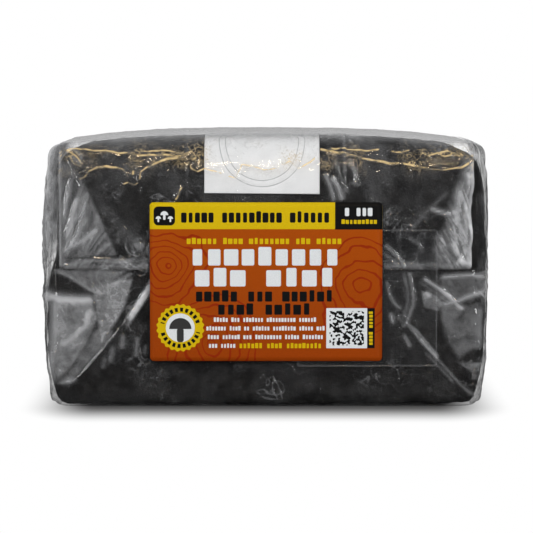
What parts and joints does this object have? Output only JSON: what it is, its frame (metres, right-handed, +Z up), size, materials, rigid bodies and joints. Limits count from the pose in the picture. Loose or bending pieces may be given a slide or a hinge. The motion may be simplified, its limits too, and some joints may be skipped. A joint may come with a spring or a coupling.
{
  "type": "mushroom grow bag",
  "caption": "Clear gusseted film bag folded shut round a brick of dark substrate, with a filter patch in its turned-over neck and a printed label.",
  "frame": {"origin": "on the ground under the middle of the bag", "axes": "+Z up, X across the bag's width, -Y towards the folded top end with the label"},
  "size_m": [0.2196, 0.1398, 0.1346],
  "materials": {
    "substrate": "moist dark fibre and crumb, pressed into a brick",
    "film": "clear, slightly milky, wrinkled gloss film",
    "patch": "white filter fleece with a welded double ring",
    "tab": "clear gloss sticker",
    "label": "satin print in orange and yellow"
  },
  "bodies": {
    "root": {"substrate_block": "substrate", "bag_film": "film", "filter_patch": "patch", "clear_tab": "tab", "label": "label"}
  },
  "joints": []
}
